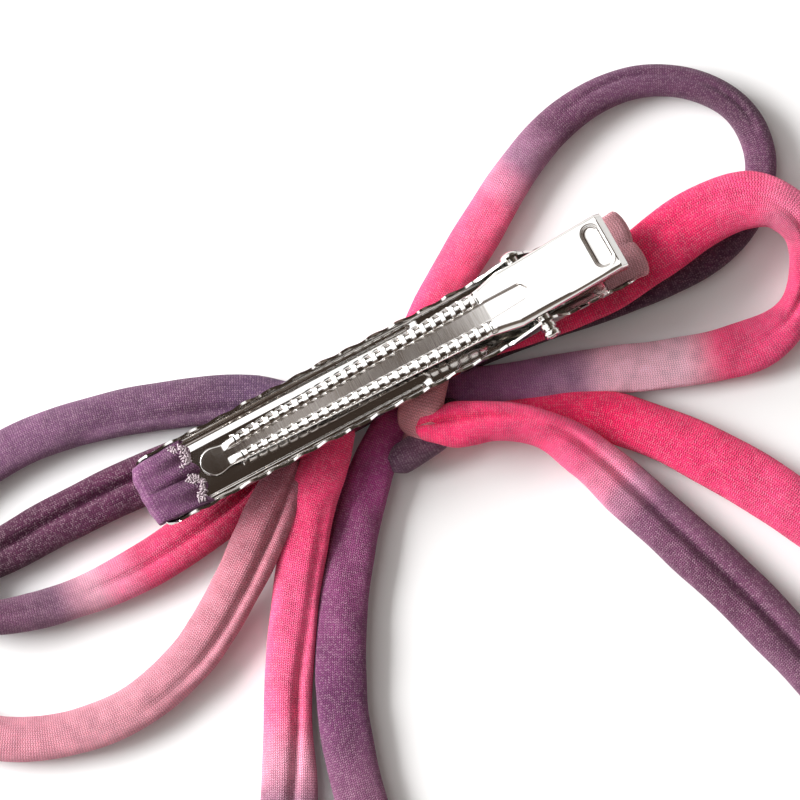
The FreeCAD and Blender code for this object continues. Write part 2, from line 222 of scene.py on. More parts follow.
# %% [markdown]
# A strand is a limp fabric tube that lies flattened, often folded lengthwise so that it shows two
# lobes with a crease between.  It starts as a straight sleeve, cut into rings, and one mapping
# bends the sleeve along its line.  The line is a NURBS spline over the construction's own route,
# read back as points.  Each ring is a flattened oval with its own width, thickness, roll and crease.

# %% Sleeves
SIDES = 48
GIRTH = 15.5
CREASE_WIDTH = 0.09
END_ROUNDING = 1.5 * MM


def spline_mesh(name, lines, steps, thickness=0.0):
    """Smooth lines through lists of control points, as a mesh.  With a thickness they are tubes."""
    curve = bpy.data.curves.new(name, "CURVE")
    curve.dimensions = "3D"
    curve.resolution_u = steps
    if thickness:
        curve.bevel_depth = thickness / 2
        curve.bevel_resolution = 2
        curve.use_fill_caps = True
    for line in lines:
        spline = curve.splines.new("NURBS")
        spline.points.add(len(line) - 1)
        for control, place in zip(spline.points, line):
            control.co = (*place, 1)
        spline.order_u = 3
        spline.use_endpoint_u = True
        spline.resolution_u = steps
    holder = bpy.data.objects.new(name, curve)
    mesh = bpy.data.meshes.new_from_object(holder)
    bpy.data.objects.remove(holder)
    return mesh


def route_line(name, points):
    """The points of a smooth line whose control points are the route."""
    mesh = spline_mesh(name, [points], 14)
    line = [v.co.copy() for v in mesh.vertices]
    bpy.data.meshes.remove(mesh)
    return line


def lengths_along(line):
    """The distance from the line's start to each of its points."""
    total, out = 0.0, [0.0]
    for a, b in zip(line, line[1:]):
        total += (b - a).length
        out.append(total)
    return out


def shares_of(line, points):
    """For each point of the route, the index of the line's nearest point, in order."""
    return [min(range(len(line)), key=lambda i: (line[i] - p).length) for p in points]


def places_along(marks, count):
    """The place of each of a line's points, counted in route points."""
    places = []
    for i in range(count):
        high = next(k for k, mark in enumerate(marks) if mark >= i)
        low = max(high - 1, 0)
        span = marks[high] - marks[low]
        places.append(low + (i - marks[low]) / span if span else float(high))
    return places


def ease(t):
    """0 to 1 along a smooth step."""
    t = min(1.0, max(0.0, t))
    return t * t * (3 - 2 * t)


def blend_stations(stations, at):
    """Values between listed stations: each is (place, value, value, ...)."""
    if at <= stations[0][0]:
        return stations[0][1:]
    for low, high in zip(stations, stations[1:]):
        if at <= high[0]:
            t = ease((at - low[0]) / (high[0] - low[0]))
            return [a + (b - a) * t for a, b in zip(low[1:], high[1:])]
    return stations[-1][1:]


def sleeve(name, line, places, form, dye, material):
    """A fabric tube along a line.

    places  for each point of the line, its place counted in route points
    form    stations (place, width, thickness, roll in degrees, crease place, crease depth)
    dye     stations (place, hex colour)
    """
    dye_stations = [(at, *linear(code)) for at, code in dye]
    far = lengths_along(line)
    rings = len(line)
    bm = bmesh.new()
    bmesh.ops.create_cone(bm, cap_ends=True, segments=SIDES, radius1=1, radius2=1, depth=1)
    upright = [e for e in bm.edges if abs(e.verts[0].co.z - e.verts[1].co.z) > 0.5]
    bmesh.ops.subdivide_edges(bm, edges=upright, cuts=rings - 2)
    colour_layer = bm.verts.layers.float_color.new("dye")
    uv_layer = bm.loops.layers.uv.new("knit")
    angle_of = {}
    for vert in bm.verts:
        ring = round((vert.co.z + 0.5) * (rings - 1))
        angle_of[vert] = (ring, atan2(vert.co.y, vert.co.x))
    for vert, (ring, angle) in angle_of.items():
        here = line[ring]
        ahead = (line[min(ring + 1, rings - 1)] - line[max(ring - 1, 0)]).normalized()
        side = ahead.cross(Vector((0, 0, 1))).normalized()
        up = side.cross(ahead)
        width, thick, roll, crease_at, crease = blend_stations(form, places[ring])
        to_end = min(far[ring], far[-1] - far[ring]) + 0.1 * MM
        end = min(to_end / END_ROUNDING, 1.0)
        rounding = sqrt(1 - (1 - end) ** 2)
        x = cos(angle) * width / 2 * rounding
        flat = abs(sin(angle)) ** 0.75 * (1 if sin(angle) >= 0 else -1)
        z = flat * thick / 2 * rounding
        if z > 0:
            near = (x - crease_at * width / 2) / (CREASE_WIDTH * width)
            z *= 1 - crease * exp(-near * near)
        lump = noise.noise(here / (6 * MM) + Vector((angle, ring * 0.01, 0))) * 0.18
        x, z = x * (1 + 0.25 * lump), z * (1 + lump)
        c, s = cos(radians(roll)), sin(radians(roll))
        vert.co = here + (side * (c * x - s * z) + up * (s * x + c * z)) * MM
        vert[colour_layer] = blend_stations(dye_stations, places[ring])
    for face in bm.faces:
        angles = [angle_of[loop.vert][1] for loop in face.loops]
        wraps = max(angles) - min(angles) > pi
        for loop, angle in zip(face.loops, angles):
            turn_share = (angle + 2 * pi if wraps and angle < 0 else angle) / (2 * pi)
            loop[uv_layer].uv = (turn_share * GIRTH, far[angle_of[loop.vert][0]] / MM)
    bmesh.ops.recalc_face_normals(bm, faces=bm.faces[:])
    return finish_piece(name, bm, material)


def finish_piece(name, bm, *materials):
    """Turns a bmesh into a smooth object at the origin with its materials."""
    for face in bm.faces:
        face.smooth = True
    mesh = bpy.data.meshes.new(name)
    bm.to_mesh(mesh)
    bm.free()
    for material in materials:
        mesh.materials.append(material)
    piece = bpy.data.objects.new(name, mesh)
    scene.collection.objects.link(piece)
    return piece


# %% [markdown]
# The routes are the construction's, in the bow's frame in mm.  A loop starts and ends among the
# strands gathered under the clip.  A tail ends in a plain sewn end.  LOW and HIGH are the heights
# of a strand's middle on the surface, and where it crosses over another.

# %% Routes of the strands
STRAND_RADIUS = 2.0
LOW = STRAND_RADIUS + 0.1
HIGH = LOW + 2 * STRAND_RADIUS + 0.1
ROUTES = {
    "loop_upper_right": [
        (2.8, 4.6, LOW), (6, 10.8, LOW), (12.5, 21.3, LOW), (18.3, 31.5, LOW), (25.3, 40, LOW),
        (35, 45.2, LOW), (44.5, 44.7, LOW), (51.5, 40.5, LOW), (54.3, 33.5, LOW),
        (53, 26.5, LOW), (49, 20.6, LOW), (42.8, 16.2, LOW), (34, 12.5, LOW),
        (22.8, 8.8, LOW), (14.5, 5.8, LOW), (8.8, 3, LOW)],
    "loop_lower_right": [
        (8.4, 4.3, HIGH), (14, 6, HIGH), (23.2, 9.7, HIGH), (31.3, 13.6, HIGH),
        (37.8, 18.3, HIGH), (43.8, 23.2, HIGH), (50.8, 26.3, HIGH), (57, 25.2, 6),
        (60.2, 20.8, 4.5), (60.2, 15, 2.8), (58.3, 9.8, LOW), (54.2, 6.1, LOW),
        (48.3, 4.2, LOW), (41.2, 2.8, LOW), (32.6, 1.9, LOW), (22.8, 0.7, LOW),
        (13, -0.7, LOW), (5.4, -0.6, LOW)],
    "loop_upper_left": [
        (-12.4, -3.1, LOW), (-18.5, -2.1, LOW), (-29.2, -2.9, LOW), (-40.5, -4.8, LOW),
        (-50.5, -7.8, LOW), (-58.8, -12.5, LOW), (-65.3, -19, LOW), (-69.5, -27.5, LOW),
        (-70.5, -37.5, LOW), (-66.5, -45.8, LOW), (-58.8, -50.7, LOW), (-49, -51.6, LOW),
        (-37.8, -48.6, LOW), (-29, -41.8, LOW), (-23.6, -33.8, 2.8), (-19.3, -25.6, 4.6),
        (-16, -18, HIGH), (-13.1, -11.7, HIGH)],
    "loop_lower_left": [
        (-14.9, -5.6, LOW), (-20, -7.8, LOW), (-28.1, -11.1, LOW), (-37.8, -15.4, LOW),
        (-47, -20, LOW), (-53.6, -24, LOW), (-58.4, -26.1, 2.4), (-61.4, -29.3, 2.9),
        (-60.8, -33.2, 3.3), (-56.6, -34.4, 3.3), (-51.6, -33.6, 2.8), (-46, -32, LOW),
        (-39.8, -29.5, LOW), (-33.7, -26.2, LOW),
        (-27.1, -21.8, LOW), (-21, -16.8, LOW), (-16.7, -12.2, LOW), (-13.1, -9.2, LOW)],
    "tail_lower_left": [
        (-6.6, -6.4, HIGH), (-8.5, -11, HIGH), (-11.2, -18.7, 5), (-13.3, -32, LOW),
        (-14.4, -46.5, LOW), (-13.6, -60, LOW), (-15.2, -70, LOW), (-19, -80, LOW),
        (-22.4, -90, LOW), (-23.4, -101, LOW)],
    "tail_lower_middle": [
        (1.3, -3.5, LOW), (-1.6, -10.5, LOW), (-4.7, -19.2, LOW), (-6.6, -32, LOW),
        (-6.9, -45.5, LOW), (-4.5, -58, LOW), (-1.2, -68, LOW), (-0.9, -79, LOW),
        (-4.3, -90, LOW), (-8, -101, LOW)],
    "tail_right": [
        (3.8, -7.5, HIGH), (9.4, -7.1, HIGH), (16, -6.2, HIGH), (22.7, -7.5, 5.6),
        (28.3, -11, 3.8), (34, -15.9, 2.5), (40.7, -21.9, LOW), (49.4, -30, LOW),
        (59, -40.3, LOW), (66.7, -49.8, LOW), (72.8, -59.8, LOW), (77.4, -70.6, LOW)],
    "tail_upper_right": [
        (4.4, -8.3, LOW), (10.5, -6.7, LOW), (17.7, -4.6, LOW), (25.4, -3.9, LOW),
        (33, -5.2, LOW), (41.2, -8.3, LOW), (49.9, -13, LOW), (58.6, -18.7, LOW),
        (66.8, -25.5, LOW), (76, -30.8, LOW), (86, -32.8, LOW), (95, -32.3, LOW)],
}

# %% [markdown]
# The dyer's colours run along each strand, and the tube's form changes with them: places are
# counted in route points, so that 3.5 is half way between the fourth and the fifth.  On the
# return of loop_lower_right the colours are partly painted light against the clip's shadow.

# %% Dye and form of each strand
HOT, ROSE, FLUSH, DUSTY = "#F82A68", "#FA4A7E", "#F08FAC", "#D08696"
LILAC, PURPLE, PLUM, SLATE = "#A0708E", "#6C3D5C", "#3C0A28", "#5C3E60"
DYE_WITH_PAINTED_LIGHT = {
    "loop_upper_right": [
        (0, HOT), (1.5, "#F9507F"), (2.4, "#F9648F"), (2.75, "#DC80A0"), (3.15, "#A06E8C"),
        (3.9, PURPLE), (5, "#6A3E5E"), (7, "#5A334E"), (8, "#6E4060"), (10, "#4A2842"), (15, PLUM)],
    "loop_lower_right": [
        (0, HOT), (3, "#EC2860"), (4.5, HOT), (6, ROSE), (7, "#F6769C"), (9, ROSE), (11, "#F74A80"),
        # From station 13 on, these colours are partly painted light: made lighter to offset the shadow
        # that the clip casts on the strand's return.
        (12, ROSE), (13.0, "#FFC4D8"), (14.0, "#FFC0D6"), (14.7, "#AE7CA0"), (15.5, "#A86C9C"),
        (16.3, "#A0649A"), (17, "#8A5080")],
    "loop_upper_left": [
        (0, SLATE), (1, "#5E4260"), (2, "#6B4764"), (4, "#774E6E"), (7, PURPLE), (9, LILAC),
        (10.5, DUSTY), (12, "#DC93A2"), (13, "#D08797"), (15, "#C57686"), (17, "#A65A6B")],
    "loop_lower_left": [
        (0, PLUM), (3, "#541E40"), (5, "#4C1D3A"), (7, PLUM), (9, "#6B3F5C"), (10.8, "#7E5670"),
        (11.7, "#DE9BB0"), (12.3, "#EA7A9C"), (13, "#E04472"), (14, "#D5305F"), (15.5, "#BE1B4A"),
        (17, HOT)],
    "tail_lower_left": [
        (0, "#FF3A72"), (2.2, "#FF467C"), (3, "#FA5C8C"), (4.0, "#F7648F"), (4.6, "#DE8FA8"),
        (5.1, "#94687F"), (7, PURPLE), (9, PLUM)],
    "tail_lower_middle": [
        (0, "#C04A8C"), (1.4, "#A03E7C"), (2.4, "#88426F"), (4, "#6C345E"), (5.2, "#835070"), (7, DUSTY),
        (9, HOT)],
    "tail_right": [
        (0, "#FF2C6C"), (3.0, "#FF4A80"), (3.8, "#FF6293"), (4.5, "#F284A6"), (5.0, "#BE7C9A"),
        (5.5, "#7E4C6A"), (7, "#6A3B58"), (8, "#764A66"), (11, PLUM)],
    "tail_upper_right": [
        (0, "#FF1F62"), (3.5, "#FF1F62"), (5, "#F5366E"), (7, "#F64A7E"), (9, FLUSH), (10, LILAC),
        (11, PURPLE)],
}
FORM = {
    "loop_upper_right": [
        (0, 5.0, 3.4, 0, 0, 0), (2, 6.8, 3.0, 0, 0, 0), (3.4, 5.8, 3.2, 0, 0, 0),
        (5, 4.9, 3.2, 0, -0.3, 0.3), (6.5, 4.5, 3.2, 0, -0.2, 0.3), (8, 4.6, 3.4, 0, 0, 0),
        (15, 5.0, 3.0, 0, 0, 0)],
    "loop_lower_right": [
        (0, 6.0, 3.0, 0, 0, 0), (3, 8.4, 2.6, 0, 0.3, 0.06), (4.5, 9.2, 2.6, 0, -0.3, 0.12),
        (6, 8.6, 2.6, 0, -0.25, 0.16), (7, 7.0, 2.8, 0, 0.1, 0.3), (8, 5.6, 3.0, 0, 0, 0.4),
        (9.5, 5.2, 3.2, 0, 0, 0.35), (11.5, 7.6, 2.8, 0, 0, 0.08), (14, 7.0, 3.0, 0, 0, 0),
        (17, 4.8, 3.4, 0, 0, 0)],
    "loop_upper_left": [
        (0, 5.4, 3.4, 8, -0.42, 0.6), (1.5, 7.2, 3.2, 6, -0.42, 0.6), (2.4, 7.0, 3.2, 0, -0.5, 0.35),
        (3.4, 6.4, 3.2, 0, -0.5, 0.05), (6, 6.4, 3.0, 0, 0, 0), (12, 6.4, 3.0, 0, 0.4, 0.05),
        (14, 7.0, 3.0, 0, 0.45, 0.5), (15.5, 7.4, 3.2, -6, 0.35, 0.6), (17, 5.6, 2.8, -10, 0.3, 0.5)],
    "loop_lower_left": [
        (0, 6.0, 3.2, 0, 0.1, 0.6), (3, 7.4, 3.4, 0, 0.1, 0.75), (5.5, 6.8, 3.2, 0, 0.05, 0.6),
        (9, 5.0, 3.2, 0, 0, 0.2), (11, 5.4, 3.0, 0, 0, 0.05), (13, 6.8, 3.0, 0, 0.1, 0.3),
        (15, 7.2, 3.2, 0, 0.1, 0.45), (17, 6.0, 3.0, 0, 0, 0.3)],
    "tail_lower_left": [
        (0, 5.0, 3.4, 12, 0, 0), (1.5, 7.0, 3.4, 10, -0.6, 0.05), (3, 6.8, 3.2, 2, -0.6, 0.3),
        (4, 6.8, 3.0, 0, -0.4, 0.55), (5, 8.0, 2.8, 0, -0.15, 0.6), (9, 6.6, 2.6, 0, 0, 0)],
    "tail_lower_middle": [
        (0, 5.0, 3.4, 0, 0, 0), (2, 7.0, 3.4, 0, 0, 0), (5, 7.2, 3.0, 0, 0, 0), (9, 6.2, 2.6, 0, 0, 0)],
    "tail_right": [
        (0, 3.6, 3.2, 0, -0.1, 0.6), (1, 6.6, 3.6, 0, -0.15, 0.75), (1.9, 5.6, 3.6, -14, -0.25, 0.6),
        (2.8, 5.4, 3.2, -24, -0.4, 0.4), (4, 6.8, 3.2, -8, -0.3, 0.7), (5, 7.8, 3.3, -3, -0.2, 0.9),
        (6.5, 8.2, 3.3, 0, -0.1, 0.95), (11, 6.8, 2.8, 0, 0, 0.6)],
    "tail_upper_right": [
        (0, 4.0, 3.0, 0, 0, 0), (2, 4.6, 3.2, 0, 0, 0), (4.2, 7.6, 3.0, 0, 0.2, 0.05),
        (6, 8.6, 2.9, 0, 0.3, 0.12), (11, 6.4, 2.6, 0, 0, 0)],
}

# %% Strands
for name, route in ROUTES.items():
    points = [from_bow(*p) for p in route]
    line = route_line(name, points)
    marks = shares_of(line, points)
    places = places_along(marks, len(line))
    piece = sleeve(name + "_knit", line, places, FORM[name], DYE_WITH_PAINTED_LIGHT[name], bow_jersey)
    length = lengths_along(line)[-1]
    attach(piece, "base")
    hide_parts(name)
    print(name, "length", round(length / MM), "mm")

# %% [markdown]
# Bright nickel plate on pressed steel sheet.  It is nearly a mirror, so its look is mostly what
# stands round it.  The haze of handling is in the roughness, and the brushing is a faint relief.
# Spring steel is the same recipe, darker and rougher.  The rivet is plated steel too.

# %% Metals
HAZE = 0.06


def plated(name, tint, rough, brushed=0.0):
    """A plated or plain steel: rough is its least roughness, brushed the relief of the brushing."""
    material, tree, shader = new_material(name)
    place = add(tree, "TexCoord").outputs["Object"]
    cloud = add(tree, "TexNoise", {"Vector": place, "Scale": 180, "Detail": 4}).outputs[0]
    roughness = remap(tree, cloud, 0.35, 0.7, rough, rough + HAZE)
    feed(tree, shader, {"Roughness": roughness, "Base Color": linear(tint), "Metallic": 1.0})
    if brushed:
        stretch = add(tree, "Mapping", {0: place, 3: (9000, 350, 9000)}).outputs[0]
        grain = add(tree, "TexNoise", {"Vector": stretch, "Scale": 1, "Detail": 2}).outputs[0]
        bump = add(tree, "Bump", {"Strength": brushed, "Distance": 0.02 * MM, "Height": grain})
        feed(tree, shader, {"Normal": bump.outputs[0]})
    return material


nickel = plated("nickel_plated_steel", "#E2DFDC", 0.07, brushed=0.12)
rivet_steel = plated("nickel_plated_rivet_steel", "#DAD8D4", 0.14)
spring_steel = plated("blued_spring_steel", "#8C8780", 0.28)

# %% [markdown]
# The clip's metal is pressed sheet.  One function makes a sheet from a grid: it takes the places
# along the clip, the stations across it, and a rule that gives the point for each pair.

# %% Sizes of the clip, from the construction
base_low, base_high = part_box("base_plate")
lever_low, lever_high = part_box("lever")
pin_low, pin_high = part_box("pivot_pin")
lining_low, lining_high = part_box("lining_strip")
core_low, core_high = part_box("bow_core")
SHEET = 0.5 * MM
PIN_X = (pin_low[0] + pin_high[0]) / 2
PIN_Z = (pin_low[2] + pin_high[2]) / 2
PIN_RADIUS = 1.0 * MM
BASE_HALF = base_high[1]
BASE_END = base_high[0]
FLOOR_Z = base_low[2] + SHEET
LEVER_HALF = lever_high[1]
LEVER_TIP, LEVER_END = lever_low[0], lever_high[0]


def tree_of(node):
    """A search tree of a construction node's mesh, in the scene's frame."""
    mesh = nodes[node].data
    place = nodes[node].matrix_world
    corners = [place @ v.co for v in mesh.vertices]
    return BVHTree.FromPolygons(corners, [list(p.vertices) for p in mesh.polygons])


def top_at(tree, x, y, missing):
    """Height of the top of a construction node at a place."""
    hit = tree.ray_cast(Vector((x, y, 0.05)), Vector((0, 0, -1)))[0]
    return hit.z if hit else missing


def grid(columns, rows, knitted=False):
    """A flat grid, and the column and row of each corner.  Layers come before the corners' keys."""
    bm = bmesh.new()
    bmesh.ops.create_grid(bm, x_segments=columns - 1, y_segments=rows - 1, size=1)
    if knitted:
        bm.verts.layers.float_color.new("dye")
        bm.loops.layers.uv.new("knit")
    spots = {vert: (round((vert.co.x + 1) / 2 * (columns - 1)),
                    round((vert.co.y + 1) / 2 * (rows - 1))) for vert in bm.verts}
    return bm, spots


def pressed_sheet(name, xs, stations, point, thickness, material):
    """A formed sheet: point(x, station) over a grid, thickened away from its shown side."""
    bm, spots = grid(len(xs), len(stations))
    for vert, (i, j) in spots.items():
        vert.co = point(xs[i], stations[j])
    bmesh.ops.remove_doubles(bm, verts=bm.verts[:], dist=0.002 * MM)
    bmesh.ops.recalc_face_normals(bm, faces=bm.faces[:])
    if sum(face.normal.z * face.calc_area() for face in bm.faces) < 0:
        bmesh.ops.reverse_faces(bm, faces=bm.faces[:])
    bmesh.ops.solidify(bm, geom=bm.faces[:], thickness=thickness)
    bmesh.ops.recalc_face_normals(bm, faces=bm.faces[:])
    piece = finish_piece(name, bm, material)
    piece.data.set_sharp_from_angle(angle=radians(50))
    return piece


def spread(start, end, step):
    """Even places from start to end, about a step apart."""
    count = max(1, round((end - start) / step))
    return [start + (end - start) * i / count for i in range(count + 1)]


def quarter(share):
    """How far a rounded edge has dropped, from 0 at its start to 1 at its foot."""
    share = min(1.0, max(0.0, share))
    return 1 - sqrt(1 - share * share)


# %% [markdown]
# The lever is one pressing: a round spoon tip, a prong with a groove down its middle and a toothed
# rail on either side, shoulders, and a handle with folded sides, a sloped end and an oblong dimple.
# Its side view follows the construction's lever, found by rays cast down onto it.

# %% Lever
TEETH = 25
TOOTH_PITCH = 1.58 * MM
TOOTH_FIRST = -23.9 * MM
TOOTH_TOP = 0.95 * MM
TOOTH_DEPTH = 0.55 * MM
TOOTH_CROWN = 0.22 * MM
TOOTH_RAMP = 0.20 * MM
RAIL_HEIGHT = 0.5 * MM
GROOVE_END = 21.9 * MM
GROOVE_WALL = 0.2 * MM
SPOON_RADIUS = 2.05 * MM
DIMPLE_X, DIMPLE_Y = 33.2 * MM, 0.2 * MM
DIMPLE_LONG, DIMPLE_WIDE, DIMPLE_DEPTH = 6.3 * MM, 2.4 * MM, 0.5 * MM
END_SLOPE = 0.95 * MM
FLANGE = 1.5 * MM
HANDLE_START, HANDLE_BLEND = 13 * MM, 8 * MM
GROOVE_SHARE, WALL_SHARE = 0.3, 0.5
TOOTH_LAST = TOOTH_FIRST + TEETH * TOOTH_PITCH
PRONG_ROOT, GRIP = TOOTH_LAST + 0.3 * MM, 27 * MM
EDGE_ROUNDING = [(12, 0.28), (17, 1.1), (22, 1.0), (30, 0.75)]
lever_tree = tree_of("lever")
lever_heights = [(x, top_at(lever_tree, x, 0, FLOOR_Z)) for x in
                 spread(LEVER_TIP + 0.3 * MM, LEVER_END - 0.6 * MM, 1 * MM)]
lever_widths = [(LEVER_TIP + 2 * SPOON_RADIUS, 1.72 * MM), (TOOTH_FIRST, 1.95 * MM),
                (14.8 * MM, 3.4 * MM), (19.3 * MM, LEVER_HALF)]
groove_widths = [(TOOTH_FIRST, 0.50 * MM), (TOOTH_LAST, 1.25 * MM), (GROOVE_END, 1.0 * MM)]


def straight(stations, at):
    """Straight-line values between (place, value) stations, carried on past the ends."""
    pairs = list(zip(stations, stations[1:]))
    (x0, v0), (x1, v1) = next((p for p in pairs if at <= p[1][0]), pairs[-1])
    return v0 + (v1 - v0) * (at - x0) / (x1 - x0)


def crest_height(x):
    """Top of the sheet: one even slope from the last tooth up to the handle."""
    if not PRONG_ROOT < x < GRIP:
        return straight(lever_heights, x)
    low, high = straight(lever_heights, PRONG_ROOT), straight(lever_heights, GRIP)
    return low + (high - low) * (x - PRONG_ROOT) / (GRIP - PRONG_ROOT)


def lever_half(x):
    """Half of the lever's width, seen from above."""
    middle = LEVER_TIP + SPOON_RADIUS
    if x < middle:
        return sqrt(max(0.0, SPOON_RADIUS ** 2 - (middle - x) ** 2))
    neck = LEVER_TIP + 2 * SPOON_RADIUS
    if x < neck:
        waist = ease((x - middle) / (neck - middle))
        return SPOON_RADIUS + (lever_widths[0][1] - SPOON_RADIUS) * waist
    return straight(lever_widths, min(x, lever_widths[-1][0]))


def groove_half(x):
    """Half of the groove's width: it widens along the prong and has a round end."""
    across = straight(groove_widths, min(x, GROOVE_END))
    past = max(0.0, x - GROOVE_END + across)
    return sqrt(max(0.0, across ** 2 - past ** 2))


def oblong(x, y):
    """Distance outside the dimple's outline, negative inside it."""
    reach = (DIMPLE_LONG - DIMPLE_WIDE) / 2
    off = max(0.0, abs(y - DIMPLE_Y) - reach)
    return hypot(x - DIMPLE_X, off) - DIMPLE_WIDE / 2


def tooth(x):
    """1 on top of a tooth, 0 in the gap after it."""
    if not TOOTH_FIRST <= x <= TOOTH_LAST:
        return 1.0
    into = (x - TOOTH_FIRST) % TOOTH_PITCH
    edge = 0.16 * MM
    return ease(min(into, TOOTH_TOP - into) / edge)


def lever_point(x, station):
    """The lever's shown surface.  A station is (side, share of the half width, share of the fold)."""
    side, share, flange = station
    half = max(0.01 * MM, lever_half(x))
    rails = ease((x - TOOTH_FIRST + 2.0 * MM) / (2.0 * MM))
    handle = ease((x - HANDLE_START) / HANDLE_BLEND)
    crest = crest_height(x) + RAIL_HEIGHT * rails
    groove = min(groove_half(x), 0.5 * half)
    wall = min(GROOVE_WALL, 0.4 * half)
    if share < GROOVE_SHARE:
        y = groove * share / GROOVE_SHARE
    elif share < WALL_SHARE:
        y = groove + wall * (share - GROOVE_SHARE) / (WALL_SHARE - GROOVE_SHARE)
    else:
        y = groove + wall + (half - groove - wall) * (share - WALL_SHARE) / (1 - WALL_SHARE)
    sunk = rails * (1 - ease((x - GROOVE_END + 0.1 * MM) / (0.3 * MM)))
    z = crest - RAIL_HEIGHT * sunk * (1 - ease((y - groove) / wall))
    rail_start = groove + 0.5 * wall
    rail_end = half - 0.12 * MM
    if x < TOOTH_LAST and rail_start < y < rail_end:
        hump = sin(pi * (y - rail_start) / (rail_end - rail_start))
        full = min(1.0, 2.2 * hump)
        ramp = ((x - TOOTH_FIRST) % TOOTH_PITCH) / TOOTH_TOP - 0.5
        z += TOOTH_CROWN * hump * rails - TOOTH_DEPTH * (1 - tooth(x)) * full
        z += TOOTH_RAMP * ramp * tooth(x) * full * (1 if x > TOOTH_FIRST else 0)
    if handle > 0.5:
        away = oblong(x, y * side) / (0.5 * MM)
        z -= DIMPLE_DEPTH * (1 - ease(away + 0.5)) - 0.06 * MM * exp(-away * away)
    edge = min(half, blend_stations(EDGE_ROUNDING, x / MM)[0] * MM)
    z -= edge * quarter((y - half + edge) / edge)
    past = x - (LEVER_END - END_SLOPE)
    z -= max(0.0, past)
    folded = handle * FLANGE * ease((LEVER_END - x) / (0.5 * MM) + 0.4)
    z -= flange * (0.12 * MM + folded)
    return Vector((x, side * y, z))


def half_stations():
    """Across one half: from the middle to the edge, then down the folded side."""
    shares = [0, 0.12, 0.22, 0.28] + spread(GROOVE_SHARE, WALL_SHARE, 0.2 / 6)
    shares += [WALL_SHARE + (1 - WALL_SHARE) * (1 - (1 - i / 30) ** 1.25) for i in range(1, 31)]
    return [(s, 0.0) for s in shares] + [(1.0, f) for f in (0.06, 0.2, 0.5, 0.8, 1.0)]


def lever_places():
    """Places along the lever: close together on the teeth, the dimple and the end."""
    marks = [0, 0.05, 0.1, 0.16, 0.3, 0.475, 0.65, 0.79, 0.85, 0.9, 0.95, 1.25]
    xs = [LEVER_TIP + SPOON_RADIUS * (1 - cos(radians(a))) for a in range(8, 90, 4)]
    xs += spread(LEVER_TIP + SPOON_RADIUS, TOOTH_FIRST - 0.05 * MM, 0.2 * MM)
    xs += [TOOTH_FIRST + i * TOOTH_PITCH + mark * MM for i in range(TEETH) for mark in marks]
    xs += spread(TOOTH_LAST + 0.05 * MM, 30.5 * MM, 0.2 * MM)
    xs += spread(30.6 * MM, LEVER_END - END_SLOPE, 0.12 * MM)
    return xs + spread(LEVER_END - END_SLOPE + 0.06 * MM, LEVER_END, 0.2 * MM)


halves = half_stations()
across_lever = [(-1, s, f) for s, f in reversed(halves)] + [(1, s, f) for s, f in halves[1:]]
lever = pressed_sheet("lever_pressing", lever_places(), across_lever, lever_point, 0.4 * MM, nickel)
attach(lever, "lever")
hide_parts("lever")

# %% [markdown]
# The base is a channel: a floor that slopes down to a rounded bead beside each wall, and walls whose
# waved top edges and ears follow the construction's.  They wander a little, as pressed edges do.

# %% Base plate
BEAD_HEIGHT, BEAD_HALF = 0.24 * MM, 0.5 * MM
BEAD_Y = BASE_HALF - SHEET - 0.65 * MM
BEAD_ENDS = {1: 5 * MM, -1: 3 * MM}
STEP_START, STEP_WIDTH, STEP_DROP = 2.85 * MM, 1.0 * MM, 0.28 * MM
BEND, BEND_SHARE = 0.4 * MM, 0.4
CORNER = 1.6 * MM
WAVE = 4.1 * MM
base_tree = tree_of("base_plate")


def bead_rise(x, y, side):
    """The rounded bead beside a wall, and the slope that the floor has before it."""
    past = max(0.0, x - BEAD_ENDS[side])
    off = hypot(past, y - BEAD_Y) / BEAD_HALF
    slope = min(1.0, max(0.0, (y - STEP_START) / STEP_WIDTH))
    return BEAD_HEIGHT * ease(1.35 * (1 - off)) - STEP_DROP * slope * (1 - ease(past / (2 * MM)))


def base_point(x, station):
    """The channel's inner surface.  A station is (side, share of the floor, share of the wall)."""
    side, share, wall = station
    corner = max(0.0, abs(x) - BASE_END + CORNER)
    inner = BASE_HALF - SHEET - 0.6 * MM * quarter(corner / CORNER)
    flat = inner - BEND
    y = flat * share
    z = FLOOR_Z + bead_rise(x, y, side)
    if wall > 0:
        top = top_at(base_tree, x, side * (BASE_HALF - SHEET / 2), FLOOR_Z)
        bent = min(1.0, wall / BEND_SHARE)
        y = flat + BEND * sin(bent * pi / 2)
        z = FLOOR_Z + bead_rise(x, flat, side) * (1 - bent) + BEND * (1 - cos(bent * pi / 2))
        if wall > BEND_SHARE:
            climb = (wall - BEND_SHARE) / (1 - BEND_SHARE)
            z += max(0.12 * MM, top - FLOOR_Z - BEND) * climb
            wander = sin(2 * pi * x / WAVE + side) + 0.6 * sin(2 * pi * x / (2.7 * WAVE))
            near_pin = ease((abs(x - PIN_X) - 3 * MM) / (4 * MM))
            y += 0.10 * MM * climb * wander * near_pin
    return Vector((x, side * y, z))


floor_shares = [0, 0.2, 0.4, 0.55] + [0.6 + 0.02 * i for i in range(21)]
wall_shares = [0.1, 0.2, 0.3, 0.4, 0.5, 0.6, 0.7, 0.8, 0.9, 1.0]
halves = [(s, 0.0) for s in floor_shares] + [(1.0, w) for w in wall_shares]
across_base = [(-1, s, w) for s, w in reversed(halves)] + [(1, s, w) for s, w in halves[1:]]
base_xs = spread(-BASE_END, BASE_END, 0.22 * MM)
base = pressed_sheet("base_channel", base_xs, across_base, base_point, 0.36 * MM, nickel)
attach(base, "base")
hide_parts("base_plate")

# %% [markdown]
# The rivet is turned: a domed head on one side, and on the other a plain collar against the wall,
# a waist, and the rolled-over hollow end.

